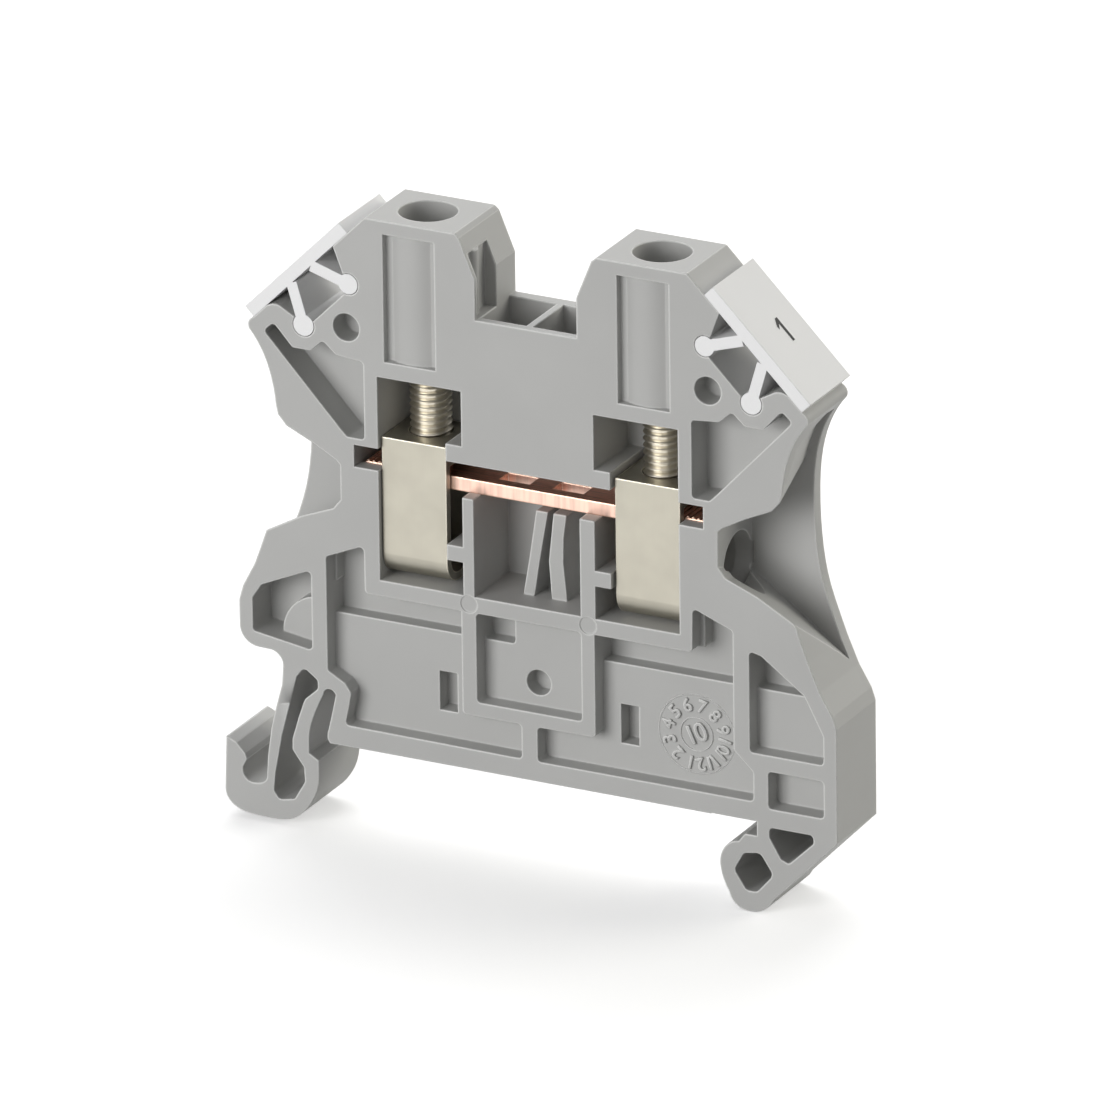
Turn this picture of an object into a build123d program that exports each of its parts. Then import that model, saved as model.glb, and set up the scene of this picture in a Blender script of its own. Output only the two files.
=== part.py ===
"""Feed-through terminal block for a 35 mm mounting rail, one pole, two screw clamps.

Millimetres, +Z up.  The origin is the middle of the face that rests on the rail's two lips.
X runs along the current bar, from clamp to clamp.  The open side of the housing looks to -Y
and shows the metal parts; the closed side looks to +Y.
"""
import os

from build123d import *

os.makedirs("parts", exist_ok=True)

# Block
pitch = 6.2
open_y = -pitch / 2
closed_y = pitch / 2
tower_top = 40.0
gap_half = 3.95
gap_floor = 33.8
slide_fit = 0.05
turn_fit = 0.08
sleeve_clear = 0.1

# Rail that the block clips on
rail_width = 35.0
lip_thick = 1.0
lip_clear = 0.05
hook_top = -lip_thick - lip_clear
notch_end = rail_width / 2 + lip_clear

# Clamp axes, screws and the tube round each screw
clamp_x = 9.1
thread_r = 1.5
head_r = 2.2
head_height = 2.5
head_seat = 29.5
head_top = head_seat + head_height
guide_r = 2.1
driver_slot_width = 0.7
driver_slot_depth = 1.1
tube_r = 2.95
tube_low = head_seat - 0.2
tube_top = tower_top - 0.8
tube_window_width = 4.0
tube_window_low = 29.5
tube_window_top = 39.0
tube_window_depth = 0.55

# Niche of each tower towards the gap, with a round rib
niche_depth = 0.9
niche_front = -2.75
niche_back = 0.2
niche_top = 38.5
niche_rib_r = 0.5
niche_rib_y = -1.6

# Current bar
bar_z = 20.35
bar_thick = 1.0
bar_top = bar_z + bar_thick
bar_front = -1.95
bar_back = 1.2
bar_half = 13.3
bar_end_clear = 0.3
bar_slot_end = bar_half + bar_end_clear
bridge_hole = 2.1
bridge_hole_length = 2.4
bridge_hole_width = 1.4

# Clamp sleeves
sleeve_width = 5.0
sleeve_inner_x = clamp_x - sleeve_width / 2
sleeve_outer_x = clamp_x + sleeve_width / 2
sleeve_front = -2.7
sleeve_back = 2.15
sleeve_bottom = 13.25
sleeve_top = 23.7
sleeve_lift = 4.4
sleeve_sheet = 0.6
sleeve_nut = 1.6
sleeve_bend = 1.75

# Pockets for the metal parts
pocket_floor = sleeve_back + slide_fit
pocket_depth = pocket_floor - open_y
guide_inner = sleeve_inner_x - 2 * sleeve_clear
guide_reach = 1.25
pocket_inner = guide_inner - guide_reach
pocket_outer = sleeve_outer_x + sleeve_clear
pocket_bottom = sleeve_bottom - 2 * sleeve_clear
pocket_roof = sleeve_top + sleeve_lift + 2 * sleeve_clear
bar_slot_rise = 1.55
bar_slot_roof = bar_top + bar_slot_rise
guide_step = 1.3
web_top = bar_top - 0.1
rib_z = 15.5
rib_thick = 1.15
window_left = -4.3
window_right = 4.0
shaft_front = open_y + 0.6
shaft_inner = 0.25
overlap = 0.1

# Wire entry
wire_r = 1.9
wire_z = 17.9
entry_wall = bar_slot_end + 1.1
entry_split = 19.5
entry_out = 24.5
funnel_step = 0.4
funnel_past = 0.2
back_plate = 1.0
entry_depth = pitch - back_plate

# Marking strips
marker_seat = 52.5
marker_top_x = 13.85
marker_low_x = 21.3
marker_thick = 0.95
leg_thick = 0.85
upper_bead = (13.85, 34.85)
lower_bead = (17.4, 31.2)
upper_groove_r = 0.8
lower_groove_r = 0.85
upper_leg_root = (16.75, 35.75)
lower_leg_root = (18.3, 34.25)

# Moulded recesses: depths from the open side, and the wall under the pockets
shallow = 1.3
deep = 2.5
step_z = 9.5
floor_wall = 1.2
recess_top = pocket_bottom - floor_wall
recess_left = -15.95
recess_right = 15.8
wing_depth = 2.45
flange_depth = 2.8
boss_depth = 1.4
hole_depth = 1.8
hook_pocket = 4.8
closed_depth = 2.4
latch_slot_r = 0.38
hook_hole_r = 0.5
corner_hole_r = 0.3
round_in = 0.3

# Round blind holes, blind slots, the flange's boss and the ejector marks
wing_hole = (14.05, 31.6)
wing_hole_r = 1.03
middle_hole_z = 6.9
middle_hole_r = 0.95
blind_slot = (7.1, 4.98)
blind_slot_width = 1.4
blind_slot_height = 2.95
boss = (-17.15, 7.3)
boss_r = 3.0
ejector_marks = ((-4.75, 12.45), (4.55, 12.45))
ejector_r = 0.65
ejector_depth = 0.06

front = Plane.XZ.offset(-open_y)
back = Plane.XZ.offset(-closed_y)


def along(points, side):
    """Points of the right-hand half, put on the side asked for."""
    return [(side * x, z) for x, z in points]


def cut_outline(points, depth, corner=round_in, side=1, plane=front):
    """Cut a round-cornered outline from the open side to a depth."""
    with BuildSketch(plane) as pocket:
        with BuildLine():
            Polyline(along(points, side), close=True)
        make_face()
        if corner:
            fillet(pocket.vertices(), radius=corner)
    extrude(pocket.sketch, amount=-depth, mode=Mode.SUBTRACT)


def cut_from_closed(points, side=1):
    """Cut a sharp-cornered pocket from the closed side."""
    with BuildSketch(back) as pocket:
        with BuildLine():
            Polyline(along(points, side), close=True)
        make_face()
    extrude(pocket.sketch, amount=closed_depth, mode=Mode.SUBTRACT)


def cut_box(x0, x1, y0, y1, z0, z1):
    """Cut a plain box given by its limits."""
    with BuildSketch(Plane.XY.offset(z0)) as box:
        with Locations(((x0 + x1) / 2, (y0 + y1) / 2)):
            Rectangle(abs(x1 - x0), abs(y1 - y0))
    extrude(box.sketch, amount=z1 - z0, mode=Mode.SUBTRACT)


# Outline of the upper half, right-hand side: tower, marker grooves, wing, closed edge of the entry
tower_edge = [
    (0, 12.0),
    (0, gap_floor),
    (gap_half, gap_floor),
    (gap_half, 36.8),
    (5.15, tower_top - 0.3),
    (5.5, tower_top),
    (marker_seat - tower_top, tower_top),
    (15.0, marker_seat - 15.0),
    (14.25, 35.54),
    (14.2, 34.05),
    (16.65, 31.6),
    (18.08, 31.7),
    (18.9, 32.15),
]
entry_edge = [
    (21.72, 30.3),
    (20.25, 27.67),
    (19.7, 25.0),
    (19.6, 22.5),
    (19.75, 19.5),
    (20.2, 16.7),
    (21.0, 14.2),
    (21.6, 12.6),
]

# Outline of the lower right-hand corner with the fixed hook
right_foot = [
    (21.6, 12.6),
    (22.5, 10.5),
    (23.45, 8.9),
    (23.75, 8.0),
    (23.75, -0.6),
    (18.75, -5.75),
]
right_hook = [(15.35, -5.6), (14.75, -4.2), (14.72, -2.95), (15.2, -2.1), (16.1, -1.7)]
right_catch = [
    (16.1, -1.7),
    (16.6, hook_top),
    (notch_end, hook_top),
    (notch_end, lip_clear),
    (14.0, lip_clear),
    (14.0, 0),
    (0, 0),
    (0, 12.6),
]

# Outline of the lower left-hand corner with the springy latch foot
flange_top = [(-21.6, 12.6), (-22.55, 10.8), (-22.85, 9.8)]
flange_side = [(-22.87, 9.6), (-22.87, 7.9)]
flange_low = [(-21.5, 6.35), (-20.4, 6.3)]
flange_arm = [(-19.5, 5.1), (-19.6, 3.8), (-20.05, 2.2), (-20.5, 0.3), (-20.8, -1.8), (-20.9, -3.2)]
latch_cup = [(-20.9, -3.2), (-21.1, -3.8), (-21.65, -4.05), (-22.35, -4.0), (-22.8, -3.45), (-22.7, -2.75)]
latch_lip = [(-22.7, -2.75), (-22.5, -2.4), (-22.65, -1.95), (-23.3, -1.25), (-24.1, -0.9), (-24.25, -4.7)]
latch_bottom = [
    (-24.25, -4.7),
    (-23.9, -5.75),
    (-23.0, -6.3),
    (-21.4, -6.5),
    (-20.0, -6.5),
    (-18.8, -6.2),
    (-17.83, -5.35),
    (-17.05, -4.0),
    (-16.8, -2.6),
]
latch_catch = [(-16.8, -2.6), (-16.8, -1.5), (-notch_end, hook_top), (-notch_end, -0.4)]
latch_arm = [(-notch_end, -0.4), (-17.45, 0.8), (-17.0, 2.2), (-16.35, 3.6)]
seat_edge = [
    (-15.35, 3.7),
    (-15.75, 1.9),
    (-16.05, 0.7),
    (-16.05, 0.3),
    (-15.85, 0),
    (0, 0),
    (0, 12.6),
]
latch_slot = [
    (-17.85, 5.4),
    (-16.75, 4.6),
    (-16.75, 3.95),
    (-17.8, 3.0),
    (-18.33, 1.5),
    (-18.83, -0.17),
    (-18.85, -1.0),
    (-17.95, -2.2),
    (-17.9, -3.3),
    (-18.75, -4.75),
    (-19.95, -5.0),
    (-20.4, -4.4),
    (-20.25, -3.0),
    (-19.67, 0.0),
    (-19.0, 2.5),
    (-18.45, 4.6),
]

# Recesses of the wing, both sides
wing_pocket = [
    (12.75, 23.4),
    (12.75, 29.2),
    (14.9, 29.4),
    (15.9, 30.3),
    (16.9, 29.4),
    (18.3, 29.4),
    (19.75, 31.0),
    (20.55, 30.3),
    (14.7, 24.0),
    (14.1, 23.4),
]

# Recesses of the lower body
left_recess = [
    (-5.35, recess_top),
    (-12.9, recess_top),
    (-12.95, 15.4),
    (recess_left, 14.1),
    (recess_left, 5.5),
    (-14.6, 4.75),
    (-14.15, 4.1),
    (-14.33, 3.0),
    (-14.65, 1.6),
    (-0.75, 1.5),
    (-0.75, 4.1),
    (-5.35, 4.1),
]
right_recess = [
    (5.05, recess_top),
    (12.65, recess_top),
    (12.7, 15.2),
    (recess_right, 14.0),
    (recess_right, 5.1),
    (17.3, 3.7),
    (17.3, 1.5),
    (0.5, 1.5),
    (0.5, 4.1),
    (5.05, 4.1),
]
centre_box = [(-4.2, 5.15), (-4.2, recess_top), (4.0, recess_top), (4.0, 5.15)]
centre_step = [(-4.2, step_z), (-4.2, recess_top), (-1.8, recess_top), (-1.8, step_z)]
side_step = [(13.0, recess_top), (13.0, 15.0), (15.8, 13.9), (15.8, 11.0), (13.0, 11.0)]
flange_pocket = [
    (-21.83, 10.0),
    (-21.1, 11.1),
    (-17.15, 12.85),
    (-17.15, 6.8),
    (-21.83, 7.5),
]
corner_pocket = [
    (17.05, 12.75),
    (18.0, 12.5),
    (21.3, 10.1),
    (22.75, 7.3),
    (22.75, 5.15),
    (17.05, 5.15),
]
foot_pocket = [(18.45, 3.95), (22.75, 3.95), (22.75, 1.15), (18.45, 1.15)]
corner_step = [(17.05, 12.75), (18.0, 12.5), (21.9, step_z), (17.05, step_z)]
three_corner = [(18.5, -0.25), (21.9, -0.25), (21.95, -0.85), (20.0, -2.75), (19.4, -2.5), (18.5, -1.0)]
hook_hole = [(15.75, -3.9), (16.5, -2.5), (17.8, -2.3), (18.8, -3.8), (17.5, -5.3), (16.7, -5.3)]

# Springy fingers in the middle window
finger_top = bar_z - 0.85
finger_foot = pocket_bottom - 0.15
finger_front = -1.1
finger_one = [
    (-0.4, finger_top),
    (0.5, finger_top),
    (-0.15, 16.0),
    (-0.65, finger_foot),
    (-1.5, finger_foot),
    (-0.95, 16.0),
]
finger_two = [
    (0.95, finger_top),
    (1.95, finger_top),
    (1.7, 17.8),
    (1.65, 15.9),
    (1.95, finger_foot),
    (0.75, finger_foot),
    (0.55, 15.9),
]

with BuildPart() as housing:
    # Solid block in the outline of the closed side
    with BuildSketch(front) as outline:
        with BuildLine():
            Polyline(tower_edge)
            Spline(tower_edge[-1], (19.5, 32.4), (20.3, marker_seat - 20.3))
            Line((20.3, marker_seat - 20.3), (marker_low_x, marker_seat - marker_low_x))
            Spline((marker_low_x, marker_seat - marker_low_x), (21.72, 30.8), entry_edge[0])
            Spline(entry_edge)
            Polyline(entry_edge[-1], (21.6, 12.0), tower_edge[0])
        make_face()
        with Locations(upper_bead):
            Circle(upper_groove_r, mode=Mode.SUBTRACT)
        with Locations(lower_bead):
            Circle(lower_groove_r, mode=Mode.SUBTRACT)
        mirror(about=Plane.YZ)
        with BuildLine():
            Polyline(right_foot)
            Spline(right_foot[-1], (17.7, -6.7), (16.4, -6.75), right_hook[0])
            Spline(right_hook)
            Polyline(right_catch)
            Line(right_catch[-1], right_foot[0])
        make_face()
        with BuildLine():
            Polyline(flange_top + flange_side)
            ThreePointArc(flange_side[-1], (-22.5, 6.85), flange_low[0])
            Line(flange_low)
            ThreePointArc(flange_low[-1], (-19.75, 5.95), flange_arm[0])
            Polyline(flange_arm)
            Spline(latch_cup)
            Polyline(latch_lip)
            Spline(latch_bottom)
            Polyline(latch_catch)
            Spline(latch_arm)
            ThreePointArc(latch_arm[-1], (-15.8, 4.1), seat_edge[0])
            Polyline(seat_edge)
            Line(seat_edge[-1], flange_top[0])
        make_face()
    extrude(amount=-pitch)
    cut_outline(latch_slot, pitch, corner=latch_slot_r)

    for side in (-1, 1):
        # Wire entry: a notch in front of the back plate that widens upwards and downwards behind the open side
        with BuildSketch(front):
            with BuildLine():
                Polyline(along([
                    (entry_wall, entry_split),
                    (entry_wall, 21.2),
                    (entry_wall + 0.3, 21.5),
                    (entry_wall + 2.13, 22.5),
                    (18.9, 23.45),
                    (19.55, 24.2),
                    (19.85, 25.6),
                    (20.4, 27.7),
                    (21.9, 30.3),
                    (entry_out, 30.3),
                    (entry_out, entry_split),
                ], side), close=True)
            make_face()
        with BuildSketch(front.offset(-entry_depth)):
            with BuildLine():
                Polyline(along([
                    (entry_wall, entry_split),
                    (entry_wall, 22.0),
                    (entry_wall + 0.3, 22.4),
                    (entry_wall + 2.0, 23.6),
                    (18.3, 24.8),
                    (19.0, 25.8),
                    (19.35, 27.0),
                    (19.9, 28.4),
                    (21.0, 29.6),
                    (entry_out, 29.9),
                    (entry_out, entry_split),
                ], side), close=True)
            make_face()
        loft(ruled=True, mode=Mode.SUBTRACT)
        with BuildSketch(front):
            with BuildLine():
                Polyline(along([
                    (entry_wall, entry_split),
                    (entry_wall, 18.6),
                    (entry_wall + 0.6, 17.85),
                    (entry_wall + 3.13, 16.85),
                    (20.45, 15.4),
                    (entry_out, 13.0),
                    (entry_out, entry_split),
                ], side), close=True)
            make_face()
        with BuildSketch(front.offset(-entry_depth)):
            with BuildLine():
                Polyline(along([
                    (entry_wall, entry_split),
                    (entry_wall, 16.6),
                    (entry_wall + 0.6, 16.2),
                    (entry_wall + 3.2, 14.4),
                    (21.3, 11.8),
                    (entry_out, 9.4),
                    (entry_out, entry_split),
                ], side), close=True)
            make_face()
        loft(ruled=True, mode=Mode.SUBTRACT)
        bore_start = pocket_outer - 0.5
        bore_end = entry_wall + 2.8
        with BuildSketch(Plane.YZ.offset(side * bore_start)):
            with Locations((0, wire_z)):
                Circle(wire_r)
        extrude(amount=side * (bore_end - bore_start), mode=Mode.SUBTRACT)
        with BuildSketch(Plane.YZ.offset(side * bar_slot_end)):
            with Locations((0, wire_z)):
                Circle(wire_r)
        with BuildSketch(Plane.YZ.offset(side * (entry_wall + funnel_past))):
            with Locations((0, wire_z)):
                Circle(wire_r + funnel_step)
        loft(mode=Mode.SUBTRACT)

        # Pocket for the clamp sleeve, narrower where the bar rests and at the small rib
        cut_outline([
            (pocket_inner, pocket_bottom),
            (pocket_inner, rib_z),
            (guide_inner, rib_z),
            (guide_inner, rib_z + rib_thick),
            (pocket_inner, rib_z + rib_thick),
            (pocket_inner, bar_slot_roof),
            (guide_inner, bar_slot_roof),
            (guide_inner, bar_slot_roof + guide_step),
            (pocket_inner, bar_slot_roof + guide_step),
            (pocket_inner, pocket_roof),
            (pocket_outer, pocket_roof),
            (pocket_outer, pocket_bottom),
        ], pocket_depth, corner=0, side=side)
        slot_start = side * (pocket_outer - overlap)
        slot_end = side * bar_slot_end
        slot_back = bar_back + slide_fit
        cut_box(slot_start, slot_end, open_y, slot_back, web_top, bar_slot_roof)
        cut_box(slot_start, slot_end, bar_front, slot_back, bar_z, web_top)

        # Tower: screw bore, head chamber, driver bore, bulged window of the open side
        with BuildSketch(front):
            with Locations((side * clamp_x, (tube_window_low + tube_window_top) / 2)):
                Rectangle(tube_window_width, tube_window_top - tube_window_low)
        extrude(amount=-tube_window_depth, mode=Mode.SUBTRACT)
        with BuildSketch(Plane.XY.offset(tube_low)):
            with Locations((side * clamp_x, 0)):
                Circle(tube_r)
        extrude(amount=tube_top - tube_low)
        for radius, low, high in (
            (thread_r + turn_fit, pocket_roof, head_seat),
            (head_r + turn_fit, head_seat, head_top + slide_fit),
            (guide_r, head_top + slide_fit, tower_top),
        ):
            with BuildSketch(Plane.XY.offset(low)):
                with Locations((side * clamp_x, 0)):
                    Circle(radius)
            extrude(amount=high - low, mode=Mode.SUBTRACT)
        niche_wall = gap_half + niche_depth
        niche_floor = gap_floor - overlap
        cut_box(side * (gap_half - overlap), side * niche_wall, niche_front, niche_back, niche_floor, niche_top)
        with BuildSketch(Plane.XY.offset(niche_floor)):
            with Locations((side * (niche_wall + overlap), niche_rib_y)):
                Circle(niche_rib_r)
        extrude(amount=niche_top - niche_floor)

        # Recesses and blind holes of the wing
        cut_outline(wing_pocket, wing_depth, side=side)
        cut_from_closed(wing_pocket, side=side)
        with BuildSketch(front):
            with Locations((side * wing_hole[0], wing_hole[1])):
                Circle(wing_hole_r)
        extrude(amount=-hole_depth, mode=Mode.SUBTRACT)
        # Blind slots in the lower recesses
        with BuildSketch(front):
            with Locations((side * blind_slot[0], blind_slot[1])):
                Rectangle(blind_slot_width, blind_slot_height)
        extrude(amount=-2 * shallow, mode=Mode.SUBTRACT)
        # Half of the bridge shaft between gap and bar
        cut_box(side * shaft_inner, side * gap_half, shaft_front, pocket_floor, bar_slot_roof - overlap, gap_floor)

    # Front opening over the bar, window below it with two fingers
    cut_box(-pocket_inner, pocket_inner, open_y, pocket_floor, bar_z, bar_slot_roof)
    cut_box(window_left, window_right, open_y, pocket_floor, pocket_bottom, bar_z)
    for finger in (finger_one, finger_two):
        with BuildSketch(Plane.XZ.offset(-pocket_floor)):
            with BuildLine():
                Polyline(finger, close=True)
            make_face()
        extrude(amount=pocket_floor - finger_front)

    # Recesses of the lower body: shallow all over, deeper above the step
    for recess in (left_recess, right_recess):
        cut_outline(recess, shallow)
        cut_from_closed(recess)
    for x0, x1 in ((recess_left, left_recess[0][0]), (right_recess[0][0], recess_right)):
        cut_box(x0, x1, open_y, open_y + deep, step_z, recess_top)
    for side in (-1, 1):
        cut_outline(side_step, deep, side=side)
    cut_outline(centre_box, shallow)
    cut_from_closed(centre_box)
    cut_outline(centre_step, deep)
    with BuildSketch(front):
        with Locations((0, middle_hole_z)):
            Circle(middle_hole_r)
    extrude(amount=-2 * shallow, mode=Mode.SUBTRACT)
    with BuildSketch(front):
        with Locations(ejector_marks):
            Circle(ejector_r)
    extrude(amount=-ejector_depth, mode=Mode.SUBTRACT)

    # Recesses of the flange, the corner and the hook
    cut_outline(flange_pocket, boss_depth)
    with BuildSketch(front) as flange_floor:
        with BuildLine():
            Polyline(flange_pocket, close=True)
        make_face()
        fillet(flange_floor.vertices(), radius=round_in)
        with Locations(boss):
            Circle(boss_r, mode=Mode.SUBTRACT)
    extrude(amount=-flange_depth, mode=Mode.SUBTRACT)
    cut_from_closed(flange_pocket)
    cut_outline(corner_pocket, shallow)
    cut_from_closed(corner_pocket)
    cut_outline(corner_step, deep)
    cut_outline(foot_pocket, boss_depth)
    cut_from_closed(foot_pocket)
    cut_outline(three_corner, hook_pocket, corner=corner_hole_r)
    cut_outline(hook_hole, hook_pocket, corner=hook_hole_r)
housing.part.label = "housing"
export_step(housing.part, "parts/housing.step")

with BuildPart() as current_bar:
    with BuildSketch(Plane.XY.offset(bar_z)):
        with Locations((0, (bar_front + bar_back) / 2)):
            Rectangle(2 * bar_half, bar_back - bar_front)
            with Locations((-bridge_hole, 0), (bridge_hole, 0)):
                Rectangle(bridge_hole_length, bridge_hole_width, mode=Mode.SUBTRACT)
    extrude(amount=bar_thick)
current_bar.part.label = "current_bar"
export_step(current_bar.part, "parts/current_bar.step")


def build_sleeve(side, name):
    """Closed sleeve of bent sheet, open along X, with a tapped plate on top."""
    with BuildPart() as sleeve:
        with BuildSketch(Plane.YZ.offset(side * sleeve_inner_x)) as ring:
            with Locations(((sleeve_front + sleeve_back) / 2, (sleeve_bottom + sleeve_top) / 2)):
                Rectangle(sleeve_back - sleeve_front, sleeve_top - sleeve_bottom)
            low = ring.vertices().sort_by(Axis.Y)[:2]
            fillet(low, radius=sleeve_bend)
        extrude(amount=side * (sleeve_outer_x - sleeve_inner_x))
        with BuildSketch(Plane.YZ.offset(side * sleeve_inner_x)) as hollow:
            inner_top = sleeve_top - sleeve_nut
            inner_low = sleeve_bottom + sleeve_sheet
            with Locations(((sleeve_front + sleeve_back) / 2, (inner_low + inner_top) / 2)):
                Rectangle(sleeve_back - sleeve_front - 2 * sleeve_sheet, inner_top - inner_low)
            low = hollow.vertices().sort_by(Axis.Y)[:2]
            fillet(low, radius=sleeve_bend - sleeve_sheet)
        extrude(amount=side * (sleeve_outer_x - sleeve_inner_x), mode=Mode.SUBTRACT)
        with BuildSketch(Plane.XY.offset(inner_top)):
            with Locations((side * clamp_x, 0)):
                Circle(thread_r + turn_fit)
        extrude(amount=sleeve_nut, mode=Mode.SUBTRACT)
    sleeve.part.label = name
    return sleeve


def build_screw(side, name):
    """Clamp screw: shank down to the bar, round head with a driver slot."""
    with BuildPart() as screw:
        with BuildSketch(Plane.XY.offset(bar_top)):
            with Locations((side * clamp_x, 0)):
                Circle(thread_r)
        extrude(amount=head_seat - bar_top)
        with BuildSketch(Plane.XY.offset(head_seat)):
            with Locations((side * clamp_x, 0)):
                Circle(head_r)
        extrude(amount=head_height)
        with BuildSketch(Plane.XY.offset(head_seat + head_height)):
            with Locations((side * clamp_x, 0)):
                Rectangle(2 * head_r + 1, driver_slot_width)
        extrude(amount=-driver_slot_depth, mode=Mode.SUBTRACT)
    screw.part.label = name
    return screw


def build_marker(side, name):
    """Marking strip: a sloping plate with two legs that end in beads."""
    rise = marker_thick / 2 ** 0.5
    with BuildPart() as marker:
        with BuildSketch(front):
            with BuildLine():
                Polyline(along([
                    (marker_top_x, marker_seat - marker_top_x),
                    (marker_low_x, marker_seat - marker_low_x),
                    (marker_low_x + rise, marker_seat - marker_low_x + rise),
                    (marker_top_x + rise, marker_seat - marker_top_x + rise),
                ], side), close=True)
            make_face()
            for bead, root, radius in (
                (upper_bead, upper_leg_root, upper_groove_r - slide_fit),
                (lower_bead, lower_leg_root, lower_groove_r - slide_fit),
            ):
                run = (root[0] - bead[0], root[1] - bead[1])
                length = (run[0] ** 2 + run[1] ** 2) ** 0.5
                across = (-run[1] / length * leg_thick / 2, run[0] / length * leg_thick / 2)
                with BuildLine():
                    Polyline(along([
                        (bead[0] + across[0], bead[1] + across[1]),
                        (bead[0] - across[0], bead[1] - across[1]),
                        (root[0] - across[0], root[1] - across[1]),
                        (root[0] + across[0], root[1] + across[1]),
                    ], side), close=True)
                make_face()
                with Locations((side * bead[0], bead[1])):
                    Circle(radius)
        extrude(amount=-pitch)
    marker.part.label = name
    return marker


for side, word in ((-1, "left"), (1, "right")):
    sleeve = build_sleeve(side, "clamp_sleeve_" + word)
    export_step(sleeve.part, "parts/clamp_sleeve_" + word + ".step")
    screw = build_screw(side, "clamp_screw_" + word)
    export_step(screw.part, "parts/clamp_screw_" + word + ".step")
    marker = build_marker(side, "marker_" + word)
    export_step(marker.part, "parts/marker_" + word + ".step")
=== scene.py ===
"""Feed-through terminal block: finishes, screw threads, moulded dial, printed number and stage.

Everything is in metres and lies over the CAD frame.
"""

import math

import bmesh
import bpy
from mathutils import Matrix, Vector


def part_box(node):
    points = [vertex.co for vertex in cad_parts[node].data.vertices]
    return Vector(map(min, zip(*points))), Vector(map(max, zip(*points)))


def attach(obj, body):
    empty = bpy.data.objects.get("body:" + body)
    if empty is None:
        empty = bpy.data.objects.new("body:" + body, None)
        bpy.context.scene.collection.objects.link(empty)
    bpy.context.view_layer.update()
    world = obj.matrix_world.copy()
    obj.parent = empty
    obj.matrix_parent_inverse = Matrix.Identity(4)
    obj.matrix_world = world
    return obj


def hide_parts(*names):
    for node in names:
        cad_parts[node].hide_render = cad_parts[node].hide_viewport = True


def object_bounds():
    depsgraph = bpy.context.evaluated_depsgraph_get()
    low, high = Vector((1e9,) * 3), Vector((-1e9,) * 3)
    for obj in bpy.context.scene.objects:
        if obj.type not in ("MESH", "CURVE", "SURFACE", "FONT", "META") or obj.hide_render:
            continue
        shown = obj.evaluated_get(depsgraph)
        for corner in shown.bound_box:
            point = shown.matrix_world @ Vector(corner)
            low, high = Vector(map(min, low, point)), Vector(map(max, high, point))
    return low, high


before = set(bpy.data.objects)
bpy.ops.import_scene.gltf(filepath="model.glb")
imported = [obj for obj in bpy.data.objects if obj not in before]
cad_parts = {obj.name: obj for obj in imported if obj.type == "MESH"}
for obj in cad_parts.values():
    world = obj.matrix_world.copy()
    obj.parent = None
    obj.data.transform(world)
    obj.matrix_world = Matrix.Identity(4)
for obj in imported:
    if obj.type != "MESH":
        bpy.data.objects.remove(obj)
cad_low, cad_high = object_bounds()

bl_info = {
    "name": "Feed-through terminal block",
    "version": (1, 0, 0),
    "blender": (4, 5, 0),
    "location": "View3D > Sidebar > Terminal block",
    "description": "Dresses a rail-mounted screw terminal block and sets its stage",
    "category": "Object",
}

MM = 0.001


def linear(hex_colour):
    """sRGB hex such as "B4B4B2" as linear red, green and blue."""
    parts = [int(hex_colour[i:i + 2], 16) / 255 for i in (0, 2, 4)]
    return tuple(c / 12.92 if c <= 0.04045 else ((c + 0.055) / 1.055) ** 2.4 for c in parts)


def colour_property(name, description, hex_colour):
    """A colour that the sidebar shows, kept linear."""
    return bpy.props.FloatVectorProperty(
        name=name, description=description, subtype="COLOR", size=3, min=0, max=1, default=linear(hex_colour)
    )


def length_property(name, description, millimetres):
    """A length that the sidebar shows in the scene's unit."""
    return bpy.props.FloatProperty(
        name=name, description=description, unit="LENGTH", default=millimetres * MM
    )


def angle_property(name, description, degrees):
    """An angle that the sidebar shows in degrees."""
    return bpy.props.FloatProperty(
        name=name, description=description, subtype="ANGLE", default=math.radians(degrees)
    )


def power_property(name, description, watts):
    """A lamp's power."""
    return bpy.props.FloatProperty(name=name, description=description, unit="POWER", default=watts)


def share_property(name, description, share):
    """A plain number from 0 to 1."""
    return bpy.props.FloatProperty(name=name, description=description, min=0, max=1, default=share)


class FinishSettings(bpy.types.PropertyGroup):
    """Colours and edge softness of the block's materials."""

    polyamide: colour_property("Polyamide grey", "Colour of the moulded housing", "B6B6B4")
    sleeve_nickel: colour_property("Sleeve nickel", "Colour of the plated sleeves", "AAA69A")
    screw_nickel: colour_property("Screw nickel", "Colour of the plated screws", "DAD4C6")
    copper: colour_property("Copper", "Colour of the current bar", "EDB6A0")
    sheared_copper: colour_property("Sheared copper", "Colour of the current bar's cut edges", "F2E4D8")
    marker_white: colour_property("Marker white", "Colour of the marking strips", "F6F6F6")
    print_black: colour_property("Print black", "Colour of the printed number", "161616")
    # The edge radii also set how wide the painted edge highlights are
    edge_radius: length_property("Edge radius", "Width of the housing's softened edges", 0.22)
    strip_radius: length_property("Strip edge radius", "Width of the marking strips' softened edges", 0.08)
    sheet_radius: length_property("Sheet edge radius", "Width of the softened edges of sleeves and bar", 0.15)


class BarSettings(bpy.types.PropertyGroup):
    """Sizes of the serrations on the current bar's ends."""

    teeth: bpy.props.IntProperty(name="Teeth", description="Serrations at each end", default=14)
    pitch: length_property("Pitch", "From one serration to the next", 0.42)
    rise: length_property("Rise", "Height of the serrations above the bar", 0.14)


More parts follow.
